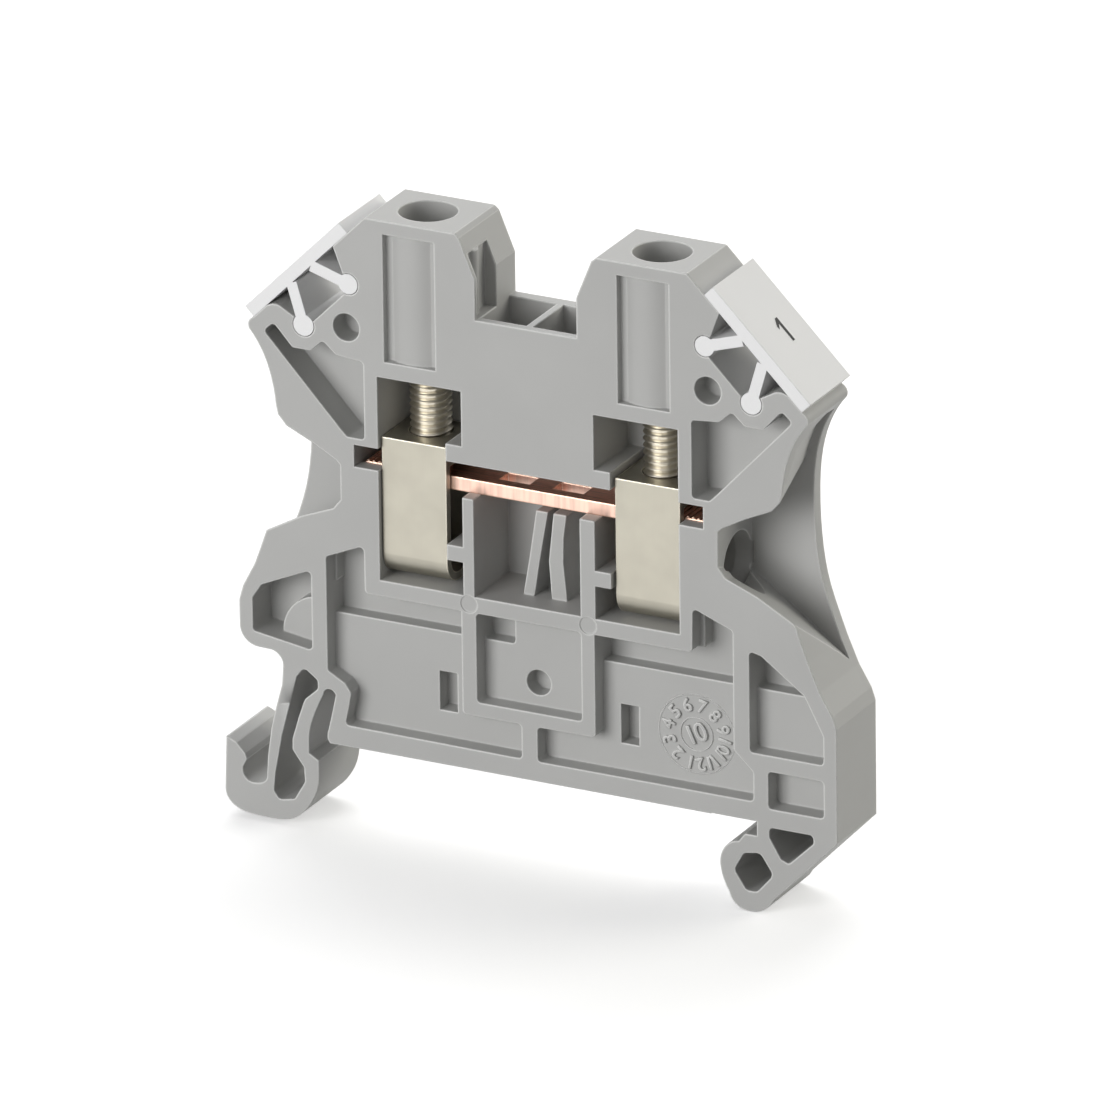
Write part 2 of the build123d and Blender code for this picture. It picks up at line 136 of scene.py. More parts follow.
class ScrewSettings(bpy.types.PropertyGroup):
    """Sizes of the clamp screws."""

    pitch: length_property("Pitch", "Axial rise of the thread in one turn", 0.5)
    crest: length_property("Crest radius", "Outer radius of the thread", 1.5)
    root: length_property("Root radius", "Radius at the bottom of the thread", 1.2)
    tip: length_property("Tip chamfer", "Chamfer at the end of the screw", 0.3)
    head: length_property("Head radius", "Radius of the screw's round head", 2.2)
    head_height: length_property("Head height", "Height of the screw's head", 2.5)
    slot_width: length_property("Slot width", "Width of the driver slot", 0.7)
    slot_depth: length_property("Slot depth", "Depth of the driver slot", 1.1)


class NumeralSettings(bpy.types.PropertyGroup):
    """Size and place of the number one on the right-hand marking strip."""

    height: length_property("Height", "Height of the numeral along the slope", 2.0)
    stroke: length_property("Stroke", "Width of the plotter's line", 0.27)
    flag: length_property("Flag", "How far the numeral's flag reaches aside", 0.55)
    film: length_property("Film", "Thickness of the ink", 0.012)
    drop: length_property("Drop", "From the strip's upper edge down to the numeral's middle", 3.72)
    aside: length_property("Aside", "From the strip's middle to the numeral", 0.5)


class DialSettings(bpy.types.PropertyGroup):
    """Sizes of the moulded month dial."""

    radius: length_property("Radius", "Middle of the ring of numbers", 2.15)
    digit: length_property("Digit height", "Height of the numbers in the ring", 1.0)
    year: length_property("Year digit height", "Height of the two digits in the middle", 1.4)
    insert: length_property("Insert radius", "Radius of the turned insert's raised rim", 1.25)
    relief: length_property("Relief", "How far the dial stands off the recess floor", 0.14)


class StageSettings(bpy.types.PropertyGroup):
    """Camera, lamps and floor."""

    azimuth: angle_property("Azimuth", "Camera's turn about the block", 27.278)
    elevation: angle_property("Elevation", "Camera's height above the horizon", 21.972)
    roll: angle_property("Roll", "Camera's lean about its own axis", 0.743)
    distance: length_property("Distance", "Camera's distance from the block's middle", 1505.66)
    floor_white: colour_property("Floor white", "Colour of the floor", "F6F6F6")
    floor_bounce: share_property("Floor bounce", "Share of the light that the floor throws back", 0.3)
    floor_glow: share_property("Floor glow", "White that the floor shows in the shade too", 0.42)
    key_power: power_property("Key", "Power of the overhead lamp", 2.8)
    fill_power: power_property("Fill", "Power of the front lamp", 4.9)
    side_power: power_property("Side", "Power of the lamp behind the right-hand end", 2.2)
    key_colour: colour_property("Lamp colour", "Colour of the overhead and front lamps", "FFFFFF")
    side_colour: colour_property("Side lamp colour", "Colour of the lamp behind the right-hand end", "FFFDF4")
    ambient: share_property("Ambient", "Strength of the sky on matt faces", 0.2)


# Materials

# Rays that the softened edges and the painted edge highlights' mask cost in each sample
EDGE_SAMPLES = 6
SHELTER_SAMPLES = 4


def add_node(tree, kind, settings=None, values=None, links=None):
    """Adds a node, sets its properties and socket values, and links its inputs."""
    node = tree.nodes.new(kind)
    for key, value in (settings or {}).items():
        setattr(node, key, value)
    for key, value in (values or {}).items():
        node.inputs[key].default_value = value
    for key, source in (links or {}).items():
        tree.links.new(source, node.inputs[key])
    return node


def new_material(name):
    """An empty node material, its tree and the object's own coordinates."""
    material = bpy.data.materials.new(name)
    material.use_nodes = True
    tree = material.node_tree
    tree.nodes.clear()
    return material, tree, add_node(tree, "ShaderNodeTexCoord").outputs["Object"]


def tinted(colour, factor):
    """The colour made lighter or darker, as an RGBA value."""
    return tuple(min(1.0, c * factor) for c in colour) + (1.0,)


def outer_edges(tree, rounded, radius):
    """Where the painted edge highlight goes: 1 along the piece's outer edges, 0 on its faces and in its inner
    corners.
    """
    plain = add_node(tree, "ShaderNodeNewGeometry").outputs["Normal"]
    turn = add_node(
        tree, "ShaderNodeVectorMath", {"operation": "DOT_PRODUCT"}, links={0: rounded, 1: plain}
    )
    edge = add_node(
        tree, "ShaderNodeMapRange", values={"From Min": 0.995, "From Max": 0.9},
        links={"Value": turn.outputs["Value"]},
    )
    shelter = add_node(
        tree, "ShaderNodeAmbientOcclusion", {"samples": SHELTER_SAMPLES, "only_local": True},
        {"Distance": 3 * radius},
    )
    outer = add_node(
        tree, "ShaderNodeMapRange", values={"From Min": 0.6, "From Max": 0.95},
        links={"Value": shelter.outputs["AO"]},
    )
    both = add_node(
        tree, "ShaderNodeMath", {"operation": "MULTIPLY"},
        links={0: edge.outputs["Result"], 1: outer.outputs["Result"]},
    )
    return both.outputs[0]


def moulded_polyamide(colour, edge_radius):
    """Grey polyamide 6.6, injection moulded: an even matt skin, slightly grained by the eroded tool."""
    material, tree, place = new_material("moulded_polyamide_grey")
    # Slow drift of the colour over about 9 mm, as the melt cools
    drift = add_node(
        tree, "ShaderNodeTexNoise", values={"Scale": 1 / (9 * MM), "Detail": 3.0}, links={"Vector": place}
    )
    shade = add_node(tree, "ShaderNodeValToRGB", links={"Fac": drift.outputs["Fac"]})
    shade.color_ramp.elements[0].position = 0.3
    shade.color_ramp.elements[0].color = tinted(colour, 0.965)
    shade.color_ramp.elements[1].position = 0.7
    shade.color_ramp.elements[1].color = tinted(colour, 1.03)
    rounded = add_node(
        tree, "ShaderNodeBevel", {"samples": EDGE_SAMPLES}, {"Radius": edge_radius}
    ).outputs["Normal"]
    # Painted highlight: the outer edges are lightened to stand in for the light they catch, and inner corners
    # stay plain
    skin_with_painted_highlight = add_node(
        tree, "ShaderNodeMix", {"data_type": "RGBA"}, {7: tinted(colour, 1.9)},
        {0: outer_edges(tree, rounded, edge_radius), 6: shade.outputs["Color"]},
    )
    # Tool grain, really about 0.03 mm, drawn at 0.12 mm so that it shows
    grain = add_node(
        tree, "ShaderNodeTexNoise", values={"Scale": 1 / (0.12 * MM), "Detail": 2.0}, links={"Vector": place}
    )
    skin = add_node(
        tree, "ShaderNodeBump", values={"Strength": 0.12, "Distance": 0.02 * MM},
        links={"Height": grain.outputs["Fac"], "Normal": rounded},
    )
    gloss = add_node(
        tree, "ShaderNodeMapRange", values={"To Min": 0.46, "To Max": 0.58},
        links={"Value": drift.outputs["Fac"]},
    )
    shader = add_node(
        tree, "ShaderNodeBsdfPrincipled", values={"IOR": 1.53},
        links={
            "Base Color": skin_with_painted_highlight.outputs[2], "Roughness": gloss.outputs["Result"],
            "Normal": skin.outputs["Normal"],
        },
    )
    add_node(tree, "ShaderNodeOutputMaterial", links={"Surface": shader.outputs[0]})
    return material


def satin_nickel(colour, edge_radius):
    """Steel sheet with satin nickel plating: warm silver, with faint rolling lines along the sheet."""
    material, tree, place = new_material("satin_nickel_plate")
    # Rolling lines, really about 0.02 mm apart, drawn 0.1 mm apart and 3 mm long
    stretched = add_node(
        tree, "ShaderNodeMapping",
        values={"Scale": (1 / (0.1 * MM), 1 / (0.1 * MM), 1 / (3 * MM))}, links={"Vector": place},
    )
    lines = add_node(
        tree, "ShaderNodeTexNoise", values={"Scale": 1.0, "Detail": 2.0},
        links={"Vector": stretched.outputs[0]},
    )
    # Clouding of the plating over about 2.5 mm
    clouds = add_node(
        tree, "ShaderNodeTexNoise", values={"Scale": 1 / (2.5 * MM), "Detail": 2.0}, links={"Vector": place}
    )
    shade = add_node(tree, "ShaderNodeValToRGB", links={"Fac": clouds.outputs["Fac"]})
    shade.color_ramp.elements[0].position = 0.3
    shade.color_ramp.elements[0].color = tinted(colour, 0.94)
    shade.color_ramp.elements[1].position = 0.7
    shade.color_ramp.elements[1].color = tinted(colour, 1.04)
    rounded = add_node(
        tree, "ShaderNodeBevel", {"samples": EDGE_SAMPLES}, {"Radius": edge_radius}
    ).outputs["Normal"]
    # Painted highlight: the sheet's outer edges are lightened to stand in for the light they catch
    plate_with_painted_highlight = add_node(
        tree, "ShaderNodeMix", {"data_type": "RGBA"}, {7: tinted(colour, 2.2)},
        {0: outer_edges(tree, rounded, edge_radius), 6: shade.outputs["Color"]},
    )
    gloss = add_node(
        tree, "ShaderNodeMapRange", values={"To Min": 0.38, "To Max": 0.5},
        links={"Value": lines.outputs["Fac"]},
    )
    relief = add_node(
        tree, "ShaderNodeBump", values={"Strength": 0.08, "Distance": 0.01 * MM},
        links={"Height": lines.outputs["Fac"], "Normal": rounded},
    )
    shader = add_node(
        tree, "ShaderNodeBsdfPrincipled", values={"Metallic": 1.0},
        links={
            "Base Color": plate_with_painted_highlight.outputs[2], "Roughness": gloss.outputs["Result"],
            "Normal": relief.outputs["Normal"],
        },
    )
    add_node(tree, "ShaderNodeOutputMaterial", links={"Surface": shader.outputs[0]})
    return material


def bright_nickel(colour):
    """Cold-headed steel with bright nickel plating: the rolled thread's crests shine."""
    material, tree, place = new_material("bright_nickel_plate")
    # Plating specks of about 0.3 mm
    specks = add_node(
        tree, "ShaderNodeTexNoise", values={"Scale": 1 / (0.3 * MM), "Detail": 3.0}, links={"Vector": place}
    )
    gloss = add_node(
        tree, "ShaderNodeMapRange", values={"To Min": 0.26, "To Max": 0.34},
        links={"Value": specks.outputs["Fac"]},
    )
    shade = add_node(tree, "ShaderNodeValToRGB", links={"Fac": specks.outputs["Fac"]})
    shade.color_ramp.elements[0].color = tinted(colour, 0.95)
    shade.color_ramp.elements[1].color = tinted(colour, 1.03)
    shader = add_node(
        tree, "ShaderNodeBsdfPrincipled", values={"Metallic": 1.0},
        links={"Base Color": shade.outputs["Color"], "Roughness": gloss.outputs["Result"]},
    )
    add_node(tree, "ShaderNodeOutputMaterial", links={"Surface": shader.outputs[0]})
    return material


def rolled_copper(colour, cut_colour, edge_radius):
    """Rolled copper: salmon pink, softly lined on its faces, with upright shear marks on its cut edges."""
    material, tree, place = new_material("rolled_copper")
    # Rolling lines along X, 0.12 mm apart and 2.5 mm long
    rolled = add_node(
        tree, "ShaderNodeMapping",
        values={"Scale": (1 / (2.5 * MM), 1 / (0.12 * MM), 1 / (0.12 * MM))}, links={"Vector": place},
    )
    lines = add_node(
        tree, "ShaderNodeTexNoise", values={"Scale": 1.0, "Detail": 3.0}, links={"Vector": rolled.outputs[0]}
    )
    # Shear marks, upright, 0.35 mm apart and 3 mm long
    sheared = add_node(
        tree, "ShaderNodeMapping",
        values={"Scale": (1 / (0.35 * MM), 1 / (3 * MM), 1 / (3 * MM))}, links={"Vector": place},
    )
    marks = add_node(
        tree, "ShaderNodeTexNoise", values={"Scale": 1.0, "Detail": 2.0}, links={"Vector": sheared.outputs[0]}
    )
    # The cut edges are the faces that look along Y
    plain = add_node(tree, "ShaderNodeNewGeometry").outputs["Normal"]
    facing = add_node(tree, "ShaderNodeSeparateXYZ", links={"Vector": plain})
    cut = add_node(tree, "ShaderNodeMath", {"operation": "ABSOLUTE"}, links={0: facing.outputs["Y"]})
    grain = add_node(
        tree, "ShaderNodeMix", {"data_type": "FLOAT"},
        links={0: cut.outputs[0], 2: lines.outputs["Fac"], 3: marks.outputs["Fac"]},
    )
    shade = add_node(tree, "ShaderNodeValToRGB", links={"Fac": grain.outputs[0]})
    shade.color_ramp.elements[0].position = 0.36
    shade.color_ramp.elements[0].color = tinted(colour, 0.72)
    shade.color_ramp.elements[1].position = 0.62
    shade.color_ramp.elements[1].color = tinted(colour, 1.08)
    # The cut edges are paler than the rolled faces
    paleness = add_node(
        tree, "ShaderNodeMapRange", values={"To Max": 0.35}, links={"Value": cut.outputs[0]}
    )
    face_colour = add_node(
        tree, "ShaderNodeMix", {"data_type": "RGBA"}, {7: tinted(cut_colour, 1.0)},
        {0: paleness.outputs["Result"], 6: shade.outputs["Color"]},
    )
    rounded = add_node(
        tree, "ShaderNodeBevel", {"samples": EDGE_SAMPLES}, {"Radius": edge_radius}
    ).outputs["Normal"]
    # Painted highlight: the bar's outer edges are lightened to stand in for the light they catch
    bar_with_painted_highlight = add_node(
        tree, "ShaderNodeMix", {"data_type": "RGBA"}, {7: tinted(colour, 1.5)},
        {0: outer_edges(tree, rounded, edge_radius), 6: face_colour.outputs[2]},
    )
    gloss = add_node(
        tree, "ShaderNodeMapRange", values={"To Min": 0.28, "To Max": 0.42}, links={"Value": grain.outputs[0]}
    )
    shader = add_node(
        tree, "ShaderNodeBsdfPrincipled", values={"Metallic": 1.0},
        links={"Base Color": bar_with_painted_highlight.outputs[2], "Roughness": gloss.outputs["Result"], "Normal": rounded},
    )
    add_node(tree, "ShaderNodeOutputMaterial", links={"Surface": shader.outputs[0]})
    return material


def white_strip_plastic(colour, edge_radius):
    """White polyamide strip, moulded in a polished tool: smooth, with a slight sheen."""
    material, tree, place = new_material("moulded_polyamide_white")
    # Slow drift of shade and gloss over about 3 mm
    drift = add_node(
        tree, "ShaderNodeTexNoise", values={"Scale": 1 / (3 * MM), "Detail": 2.0}, links={"Vector": place}
    )
    gloss = add_node(
        tree, "ShaderNodeMapRange", values={"To Min": 0.36, "To Max": 0.46},
        links={"Value": drift.outputs["Fac"]},
    )
    shade = add_node(tree, "ShaderNodeValToRGB", links={"Fac": drift.outputs["Fac"]})
    shade.color_ramp.elements[0].color = tinted(colour, 0.97)
    shade.color_ramp.elements[1].color = tinted(colour, 1.0)
    rounded = add_node(tree, "ShaderNodeBevel", {"samples": EDGE_SAMPLES}, {"Radius": edge_radius})
    shader = add_node(
        tree, "ShaderNodeBsdfPrincipled", values={"IOR": 1.53},
        links={
            "Base Color": shade.outputs["Color"], "Roughness": gloss.outputs["Result"],
            "Normal": rounded.outputs["Normal"],
        },
    )
    add_node(tree, "ShaderNodeOutputMaterial", links={"Surface": shader.outputs[0]})
    return material


def printed_ink(colour):
    """Black plotter ink on the strip: flat, with slightly uneven cover."""
    material, tree, place = new_material("plotter_ink_black")
    # Uneven cover over about 0.2 mm
    cover = add_node(
        tree, "ShaderNodeTexNoise", values={"Scale": 1 / (0.2 * MM), "Detail": 2.0}, links={"Vector": place}
    )
    shade = add_node(tree, "ShaderNodeValToRGB", links={"Fac": cover.outputs["Fac"]})
    shade.color_ramp.elements[0].color = tinted(colour, 0.8)
    shade.color_ramp.elements[1].color = tinted(colour, 1.6)
    shader = add_node(
        tree, "ShaderNodeBsdfPrincipled", values={"IOR": 1.5, "Roughness": 0.6},
        links={"Base Color": shade.outputs["Color"]},
    )
    add_node(tree, "ShaderNodeOutputMaterial", links={"Surface": shader.outputs[0]})
    return material


def background_rays(tree):
    """1 for camera, glossy and transmission rays, and 0 for the rays that light matt faces."""
    path = add_node(tree, "ShaderNodeLightPath")
    seen = add_node(
        tree, "ShaderNodeMath", {"operation": "MAXIMUM"},
        links={0: path.outputs["Is Camera Ray"], 1: path.outputs["Is Glossy Ray"]},
    )
    seen = add_node(
        tree, "ShaderNodeMath", {"operation": "MAXIMUM"},
        links={0: seen.outputs[0], 1: path.outputs["Is Transmission Ray"]},
    )
    return seen.outputs[0]


def studio_floor(colour, bounce, glow):
    """Matt white paper: seen white with the block's soft shadow, and it throws little light back."""
    material, tree, place = new_material("matt_paper_white")
    # Clouding of the paper over about 4 mm
    fibre = add_node(
        tree, "ShaderNodeTexNoise", values={"Scale": 1 / (4 * MM), "Detail": 2.0}, links={"Vector": place}
    )
    shade = add_node(tree, "ShaderNodeValToRGB", links={"Fac": fibre.outputs["Fac"]})
    shade.color_ramp.elements[0].color = tinted(colour, 0.99)
    shade.color_ramp.elements[1].color = tinted(colour, 1.0)
    rays = background_rays(tree)
    seen = add_node(
        tree, "ShaderNodeMix", {"data_type": "RGBA"}, {6: (bounce, bounce, bounce, 1.0)},
        {0: rays, 7: shade.outputs["Color"]},
    )
    lift = add_node(tree, "ShaderNodeMath", {"operation": "MULTIPLY"}, {1: glow}, {0: rays})
    shader = add_node(
        tree, "ShaderNodeBsdfPrincipled",
        values={"Roughness": 1.0, "Specular IOR Level": 0.0, "Emission Color": (1, 1, 1, 1)},
        links={"Base Color": seen.outputs[2], "Emission Strength": lift.outputs[0]},
    )
    add_node(tree, "ShaderNodeOutputMaterial", links={"Surface": shader.outputs[0]})
    return material


def set_material(obj, material):
    """The object's only material."""
    obj.data.materials.clear()
    obj.data.materials.append(material)


# Meshes

# A figure's height as a share of the font's size
FIGURE_SHARE = 0.7
# How far the thread's rounded crest falls off to its shoulders
CREST_ROUND = 0.02 * MM


def object_from_mesh(name, body, build):
    """A new object whose mesh the build function fills through bmesh, riding on a body."""
    mesh = bpy.data.meshes.new(name)
    shape = bmesh.new()
    build(shape)
    bmesh.ops.recalc_face_normals(shape, faces=shape.faces)
    shape.to_mesh(mesh)
    shape.free()
    obj = bpy.data.objects.new(name, mesh)
    bpy.context.scene.collection.objects.link(obj)
    if body:
        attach(obj, body)
    return obj


def add_prism(shape, outline, low, high):
    """An upright prism over an outline of (x, y) points."""
    floor = [shape.verts.new((x, y, low)) for x, y in outline]
    roof = [shape.verts.new((x, y, high)) for x, y in outline]
    count = len(outline)
    shape.faces.new(floor)
    shape.faces.new(roof)
    for i in range(count):
        j = (i + 1) % count
        shape.faces.new((floor[i], floor[j], roof[j], roof[i]))


def add_rim(shape, matrix, radius, width, height, steps=64):
    """A raised ring on the matrix's floor, sunk a little into it."""
    crown = width / 3
    profile = [
        (radius - width, -height), (radius - crown, height),
        (radius + crown, height), (radius + width, -height),
    ]
    rings = []
    for k in range(steps):
        angle = 2 * math.pi * k / steps
        rings.append([
            shape.verts.new(matrix @ Vector((r * math.cos(angle), r * math.sin(angle), h)))
            for r, h in profile
        ])
    for k in range(steps):
        here, after = rings[k], rings[(k + 1) % steps]
        for i in range(4):
            j = (i + 1) % 4
            shape.faces.new((here[i], here[j], after[j], after[i]))


def add_turned(shape, centre, outline, steps=48):
    """A turned shape about an upright axis, from (radius, height) points that start and end on it."""
    rings = []
    for radius, height in outline:
        if radius == 0:
            rings.append([shape.verts.new((centre[0], centre[1], height))])
            continue
        rings.append([
            shape.verts.new((
                centre[0] + radius * math.cos(2 * math.pi * k / steps),
                centre[1] + radius * math.sin(2 * math.pi * k / steps),
                height,
            ))
            for k in range(steps)
        ])
    for low, high in zip(rings, rings[1:]):
        for k in range(steps):
            n = (k + 1) % steps
            if len(low) == 1:
                shape.faces.new((low[0], high[n], high[k]))
            elif len(high) == 1:
                shape.faces.new((low[k], low[n], high[0]))
            else:
                shape.faces.new((low[k], low[n], high[n], high[k]))


def add_thread(shape, centre, low, high, screw, steps=40):
    """The skin of a right-hand screw thread between two heights."""
    shoulder = screw.crest - CREST_ROUND
    # One turn's section, as shares of the pitch and radii
    profile = [
        (0.0, screw.root), (0.12, screw.root), (0.42, shoulder), (0.5, screw.crest), (0.58, shoulder),
        (0.88, screw.root),
    ]
    per_turn = len(profile)
    # One turn below the low end and one above the high end, both pressed flat there
    turns = int((high - low) / screw.pitch) + 2
    rows = []
    for row in range(turns * per_turn):
        share, radius = profile[row % per_turn]
        base = low + (row // per_turn - 1 + share) * screw.pitch
        ring = []
        for k in range(steps):
            angle = 2 * math.pi * k / steps
            height = min(max(base + screw.pitch * k / steps, low), high)
            ring.append(shape.verts.new((
                centre[0] + radius * math.cos(angle), centre[1] + radius * math.sin(angle), height
            )))
        rows.append(ring)
    for row in range(len(rows) - 1):
        for k in range(steps - 1):
            shape.faces.new((rows[row][k], rows[row][k + 1], rows[row + 1][k + 1], rows[row + 1][k]))
    for row in range(len(rows) - 1 - per_turn):
        above = row + per_turn
        shape.faces.new((rows[row][-1], rows[above][0], rows[above + 1][0], rows[row + 1][-1]))


def shade_smooth(obj, angle):
    """Smooth shading that keeps edges sharper than the angle."""
    for face in obj.data.polygons:
        face.use_smooth = True
    bpy.context.view_layer.objects.active = obj
    obj.select_set(True)
    bpy.ops.object.shade_smooth_by_angle(angle=math.radians(angle))
    obj.select_set(False)


def text_mesh(name, words, height, thickness, matrix, heavier=0.0):
    """Raised words as a mesh, centred on the matrix's origin, with their strokes made heavier."""
    curve = bpy.data.curves.new(name + "_line", "FONT")
    curve.body = words
    curve.size = height / FIGURE_SHARE
    curve.extrude = thickness / 2
    curve.offset = heavier
    curve.resolution_u = 3
    curve.align_x = "CENTER"
    curve.align_y = "CENTER"
    carrier = bpy.data.objects.new(name + "_line", curve)
    bpy.context.scene.collection.objects.link(carrier)
    bpy.context.view_layer.update()
    mesh = bpy.data.meshes.new_from_object(carrier.evaluated_get(bpy.context.evaluated_depsgraph_get()))
    bpy.data.objects.remove(carrier)
    bpy.data.curves.remove(curve)
    mesh.transform(matrix)
    return mesh


# Operators

# First serration's distance from the bar's end, and each one's width, as shares of the pitch
FIRST_TOOTH = 0.15
TOOTH_SHARE = 0.8

# The screw's solid core lies just under the thread's skin, and both end inside the head
CORE_GAP = 0.01 * MM
THREAD_IN_HEAD = 0.1 * MM
HEAD_CHAMFER = 0.12 * MM
HALF_HEAD_STEPS = 24
# Edges sharper than this many degrees stay sharp
SCREW_CREASE = 50

# Depth of the numeral's flag where it meets the upright, in strokes
FLAG_FOOT = 1.6

# The dial's middle on the recess floor, read from the photograph
DIAL_CENTRE = Vector((12.3, -1.8, 5.2)) * MM
MONTHS = 12
# The number that would stand upright at the top of the ring
TOP_MONTH = 6.6
DIAL_LEAN = math.radians(-25)
DIGIT_GAP = 0.42 * MM
HEAVIER_STROKE = 0.03 * MM
# How far the year stands off, and the heights of the insert's rim and the outer rim, in reliefs
YEAR_RISE = 1.2
INSERT_RIM_RISE = 0.6
OUTER_RIM_RISE = 0.15
INSERT_RIM_WIDTH = 0.07 * MM
OUTER_RIM_WIDTH = 0.1 * MM
# From the insert's rim out to the dial's rim
OUTER_RIM_STEP = 1.7 * MM

# The floor's distance below the block, and half its width
FLOOR_GAP = 0.02 * MM
FLOOR_HALF = 2.0
# The middle of the block, which the lamps face
AIM = Vector((0, -0.1, 19.5)) * MM
# Each lamp's width and its place seen from there, in metres
OVERHEAD_LAMP = (0.6, Vector((-0.2, 0.38, 0.55)))
FRONT_LAMP = (0.5, Vector((-0.25, -0.7, 0.14)))
SIDE_LAMP = (0.4, Vector((0.55, 0.4, 0.25)))
# A long lens, its sensor and focal length in millimetres and its clip range in metres
SENSOR_WIDTH = 36
FOCAL_LENGTH = 708.6
CLIP_RANGE = (0.1, 10)
# How far the camera stands to the right of the block's middle and below it
SHIFT_RIGHT = 0.148 * MM
SHIFT_DOWN = 3.02 * MM


class BLOCK_OT_finish_housing(bpy.types.Operator):
    """Give the housing its moulded skin and softened edges"""

    bl_idname = "terminal_block.finish_housing"
    bl_label = "Finish housing"

    def execute(self, context):
        finish = context.scene.block_finish
        set_material(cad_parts["housing"], moulded_polyamide(finish.polyamide, finish.edge_radius))
        return {"FINISHED"}


class BLOCK_OT_finish_sleeves(bpy.types.Operator):
    """Give the clamp sleeves their satin nickel plating"""

    bl_idname = "terminal_block.finish_sleeves"
    bl_label = "Finish sleeves"

    def execute(self, context):
        finish = context.scene.block_finish
        plate = satin_nickel(finish.sleeve_nickel, finish.sheet_radius)
        for side in ("left", "right"):
            set_material(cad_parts["clamp_sleeve_" + side], plate)
        return {"FINISHED"}


class BLOCK_OT_finish_bar(bpy.types.Operator):
    """Give the current bar its copper and the serrated ends"""

    bl_idname = "terminal_block.finish_bar"
    bl_label = "Finish current bar"

    def execute(self, context):
        finish, bar = context.scene.block_finish, context.scene.block_bar
        copper = rolled_copper(finish.copper, finish.sheared_copper, finish.sheet_radius)
        set_material(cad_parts["current_bar"], copper)
        low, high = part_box("current_bar")

        def serrate(shape):
            for side, end in ((-1, low.x), (1, high.x)):
                for tooth in range(bar.teeth):
                    start = end - side * (tooth + FIRST_TOOTH) * bar.pitch
                    stop = start - side * TOOTH_SHARE * bar.pitch
                    middle, ridge = (start + stop) / 2, high.z + bar.rise
                    points = [
                        (start, low.y, high.z), (stop, low.y, high.z), (middle, low.y, ridge),
                        (start, high.y, high.z), (stop, high.y, high.z), (middle, high.y, ridge),
                    ]
                    a, b, c, d, e, f = [shape.verts.new(p) for p in points]
                    for corners in ((a, b, c), (d, f, e), (a, c, f, d), (c, b, e, f), (a, d, e, b)):
                        shape.faces.new(corners)

        teeth = object_from_mesh("bar_serrations", "block", serrate)
        set_material(teeth, copper)
        return {"FINISHED"}


class BLOCK_OT_make_screws(bpy.types.Operator):
    """Make the two clamp screws with their threads and slotted heads"""

    bl_idname = "terminal_block.make_screws"
    bl_label = "Make screws"

    def execute(self, context):
        sizes = context.scene.block_screw
        plate = bright_nickel(context.scene.block_finish.screw_nickel)
        for side in ("left", "right"):
            low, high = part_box("clamp_screw_" + side)
            centre = ((low.x + high.x) / 2, (low.y + high.y) / 2)
            head_low = high.z - sizes.head_height
            slot_floor = high.z - sizes.slot_depth

            def build(shape):
                core, tip_top = sizes.root - CORE_GAP, low.z + sizes.tip
                shank_top = head_low + THREAD_IN_HEAD
                add_turned(shape, centre, [
                    (0, low.z), (core - sizes.tip, low.z), (core, tip_top), (core, shank_top), (0, shank_top),
                ])
                add_thread(shape, centre, tip_top, shank_top, sizes)
                add_turned(shape, centre, [
                    (0, head_low), (sizes.head - HEAD_CHAMFER, head_low),
                    (sizes.head, head_low + HEAD_CHAMFER), (sizes.head, slot_floor), (0, slot_floor),
                ])
                # Above the slot's floor the head is two halves, one on each side of the slot
                start = math.asin(sizes.slot_width / 2 / sizes.head)
                for half in (-1, 1):
                    outline = []
                    for step in range(HALF_HEAD_STEPS + 1):
                        angle = start + (math.pi - 2 * start) * step / HALF_HEAD_STEPS
                        outline.append((
                            centre[0] + sizes.head * math.cos(angle),
                            centre[1] + half * sizes.head * math.sin(angle),
                        ))
                    add_prism(shape, outline, slot_floor, high.z)

            screw = object_from_mesh("threaded_screw_" + side, "screw_" + side, build)
            shade_smooth(screw, SCREW_CREASE)
            set_material(screw, plate)
            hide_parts("clamp_screw_" + side)
        return {"FINISHED"}


class BLOCK_OT_finish_markers(bpy.types.Operator):
    """Give the marking strips their white plastic and the printed number"""

    bl_idname = "terminal_block.finish_markers"
    bl_label = "Finish marking strips"

    def execute(self, context):
        finish, numeral = context.scene.block_finish, context.scene.block_numeral
        plastic = white_strip_plastic(finish.marker_white, finish.strip_radius)
        for side in ("left", "right"):
            set_material(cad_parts["marker_" + side], plastic)
        # The strip's outer face slopes down from the box's upper edge to its outer edge
        low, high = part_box("marker_right")
        across = Vector((0, 1, 0))
        up = Vector((-1, 0, 1)).normalized()
        face = Matrix.Identity(4)
        for column, axis in enumerate((across, up, across.cross(up))):
            face.col[column][:3] = axis
        face.translation = Vector((high.x - numeral.drop, numeral.aside, high.z - numeral.drop))
        top, half = numeral.height / 2, numeral.stroke / 2
        flag_tip = top - numeral.flag
        outline = [
            (-half, -top), (half, -top), (half, top), (-half, top),
            (-numeral.flag, flag_tip), (-numeral.flag, flag_tip - numeral.stroke),
            (-half, top - FLAG_FOOT * numeral.stroke),
        ]

        def build(shape):
            add_prism(shape, outline, 0, numeral.film)
            shape.transform(face)

        number = object_from_mesh("strip_number", "block", build)
        set_material(number, printed_ink(finish.print_black))
        return {"FINISHED"}


